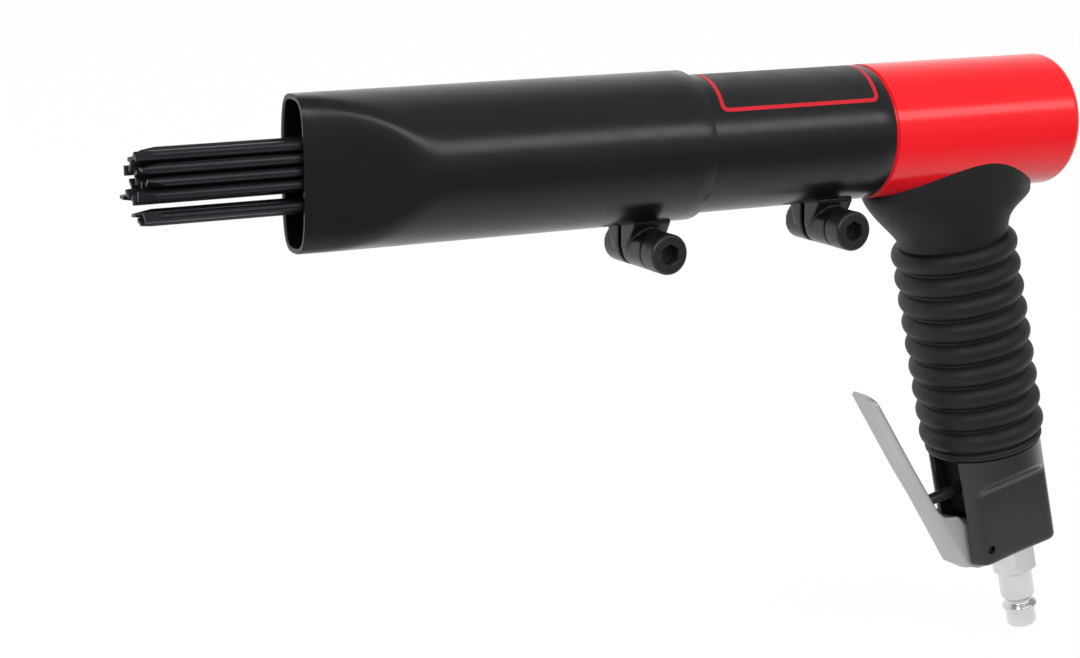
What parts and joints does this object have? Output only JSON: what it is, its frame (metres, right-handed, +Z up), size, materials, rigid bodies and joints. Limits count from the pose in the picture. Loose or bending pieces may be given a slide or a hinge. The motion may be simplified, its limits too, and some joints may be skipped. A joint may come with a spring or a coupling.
{
  "type": "pneumatic needle scaler",
  "caption": "Pistol grip air needle scaler: red rear housing, ribbed rubber handle with squeeze lever and inlet plug, clamped black tubes and a flattened nozzle with a bundle of steel needles.",
  "frame": {"origin": "centre of the inlet plug, on its axis at the shoulder of its nose", "axes": "+X towards the needle tips along the barrel, +Z up, +Y to the side that the clamp screw heads face"},
  "size_m": [0.3375, 0.0476, 0.2059],
  "materials": {
    "red_paint": "gloss",
    "black_paint": "semi-gloss",
    "black_base": "gloss",
    "grip_rubber": "matte",
    "zinc_steel": "satin zinc",
    "plated_steel": "bright plated",
    "black_oxide": "black oxide",
    "needle_steel": "dark blued",
    "machined_steel": "machined",
    "spring_steel": "drawn wire",
    "seal_rubber": "matte"
  },
  "bodies": {
    "housing": {"rear_housing": "red_paint", "grip_sleeve": "grip_rubber", "handle_base": "black_base", "lever_pin": "black_oxide", "valve_bush": "black_base", "stem_seal": "seal_rubber", "valve_spring": "spring_steel", "inlet_plug": "plated_steel", "valve_case_rear": "machined_steel", "valve_case_front": "machined_steel", "cylinder": "machined_steel"},
    "lever": {"lever": "zinc_steel"},
    "stem": {"valve_stem": "black_oxide", "poppet_seal": "seal_rubber"},
    "flutter": {"valve_disc": "machined_steel"},
    "piston": {"piston": "machined_steel"},
    "barrel": {"mid_tube": "black_paint", "rear_clamp_screw": "black_oxide", "return_spring": "spring_steel"},
    "nozzle": {"front_tube": "black_paint", "front_clamp_screw": "black_oxide"},
    "carrier": {"anvil": "machined_steel", "needle_holder": "machined_steel"},
    "needle_01": {"needle_01": "needle_steel"},
    "needle_02": {"needle_02": "needle_steel"},
    "needle_03": {"needle_03": "needle_steel"},
    "needle_04": {"needle_04": "needle_steel"},
    "needle_05": {"needle_05": "needle_steel"},
    "needle_06": {"needle_06": "needle_steel"},
    "needle_07": {"needle_07": "needle_steel"},
    "needle_08": {"needle_08": "needle_steel"},
    "needle_09": {"needle_09": "needle_steel"},
    "needle_10": {"needle_10": "needle_steel"},
    "needle_11": {"needle_11": "needle_steel"},
    "needle_12": {"needle_12": "needle_steel"},
    "needle_13": {"needle_13": "needle_steel"},
    "needle_14": {"needle_14": "needle_steel"},
    "needle_15": {"needle_15": "needle_steel"},
    "needle_16": {"needle_16": "needle_steel"},
    "needle_17": {"needle_17": "needle_steel"},
    "needle_18": {"needle_18": "needle_steel"},
    "needle_19": {"needle_19": "needle_steel"}
  },
  "joints": [
    {"name": "lever_pivot", "type": "hinge", "parent": "housing", "child": "lever", "pos_m": [0.02332, 0, 0.02686], "axis": [0, -1, 0], "range_deg": [0, 17], "stiffness_Nm_per_rad": 0.6, "springref_deg": -20.05},
    {"name": "stem_slide", "type": "slide", "parent": "housing", "child": "stem", "axis": [-0.9759, 0, 0.2181], "range_m": [0, 0.00696], "deforming": ["valve_spring"]},
    {"name": "flutter_slide", "type": "slide", "parent": "housing", "child": "flutter", "axis": [-1, 0, 0], "range_m": [0, 0.0008]},
    {"name": "piston_slide", "type": "slide", "parent": "housing", "child": "piston", "axis": [1, 0, 0], "range_m": [0, 0.0234]},
    {"name": "barrel_turn", "type": "hinge", "parent": "housing", "child": "barrel", "pos_m": [0, 0, 0.17483], "axis": [1, 0, 0], "range_deg": [-90, 90]},
    {"name": "nozzle_slide", "type": "slide", "parent": "barrel", "child": "nozzle", "axis": [1, 0, 0], "range_m": [-0.006, 0.014], "deforming": ["return_spring"]},
    {"name": "carrier_slide", "type": "slide", "parent": "barrel", "child": "carrier", "axis": [1, 0, 0], "range_m": [0, 0.006], "stiffness_N_per_m": 2500, "springref_m": -0.01, "deforming": ["return_spring"]},
    {"name": "needle_01_slide", "type": "slide", "parent": "carrier", "child": "needle_01", "axis": [1, 0, 0], "range_m": [-0.0047, 0]},
    {"name": "needle_02_slide", "type": "slide", "parent": "carrier", "child": "needle_02", "axis": [1, 0, 0], "range_m": [-0.00191, 0.00278]},
    {"name": "needle_03_slide", "type": "slide", "parent": "carrier", "child": "needle_03", "axis": [1, 0, 0], "range_m": [-0.00363, 0.00106]},
    {"name": "needle_04_slide", "type": "slide", "parent": "carrier", "child": "needle_04", "axis": [1, 0, 0], "range_m": [-0.00085, 0.00384]},
    {"name": "needle_05_slide", "type": "slide", "parent": "carrier", "child": "needle_05", "axis": [1, 0, 0], "range_m": [-0.00257, 0.00212]},
    {"name": "needle_06_slide", "type": "slide", "parent": "carrier", "child": "needle_06", "axis": [1, 0, 0], "range_m": [-0.00429, 0.0004]},
    {"name": "needle_07_slide", "type": "slide", "parent": "carrier", "child": "needle_07", "axis": [1, 0, 0], "range_m": [-0.00151, 0.00318]},
    {"name": "needle_08_slide", "type": "slide", "parent": "carrier", "child": "needle_08", "axis": [1, 0, 0], "range_m": [-0.00323, 0.00146]},
    {"name": "needle_09_slide", "type": "slide", "parent": "carrier", "child": "needle_09", "axis": [1, 0, 0], "range_m": [-0.00045, 0.00424]},
    {"name": "needle_10_slide", "type": "slide", "parent": "carrier", "child": "needle_10", "axis": [1, 0, 0], "range_m": [-0.00217, 0.00252]},
    {"name": "needle_11_slide", "type": "slide", "parent": "carrier", "child": "needle_11", "axis": [1, 0, 0], "range_m": [-0.00389, 0.0008]},
    {"name": "needle_12_slide", "type": "slide", "parent": "carrier", "child": "needle_12", "axis": [1, 0, 0], "range_m": [-0.0011, 0.00359]},
    {"name": "needle_13_slide", "type": "slide", "parent": "carrier", "child": "needle_13", "axis": [1, 0, 0], "range_m": [-0.00282, 0.00187]},
    {"name": "needle_14_slide", "type": "slide", "parent": "carrier", "child": "needle_14", "axis": [1, 0, 0], "range_m": [-0.00454, 0.00015]},
    {"name": "needle_15_slide", "type": "slide", "parent": "carrier", "child": "needle_15", "axis": [1, 0, 0], "range_m": [-0.00176, 0.00293]},
    {"name": "needle_16_slide", "type": "slide", "parent": "carrier", "child": "needle_16", "axis": [1, 0, 0], "range_m": [-0.00348, 0.00121]},
    {"name": "needle_17_slide", "type": "slide", "parent": "carrier", "child": "needle_17", "axis": [1, 0, 0], "range_m": [-0.0007, 0.00399]},
    {"name": "needle_18_slide", "type": "slide", "parent": "carrier", "child": "needle_18", "axis": [1, 0, 0], "range_m": [-0.00242, 0.00227]},
    {"name": "needle_19_slide", "type": "slide", "parent": "carrier", "child": "needle_19", "axis": [1, 0, 0], "range_m": [-0.00414, 0.00055]}
  ],
  "couplings": [
    {"joint": "stem_slide", "follows": "lever_pivot", "m_per_rad": 0.02344}
  ]
}
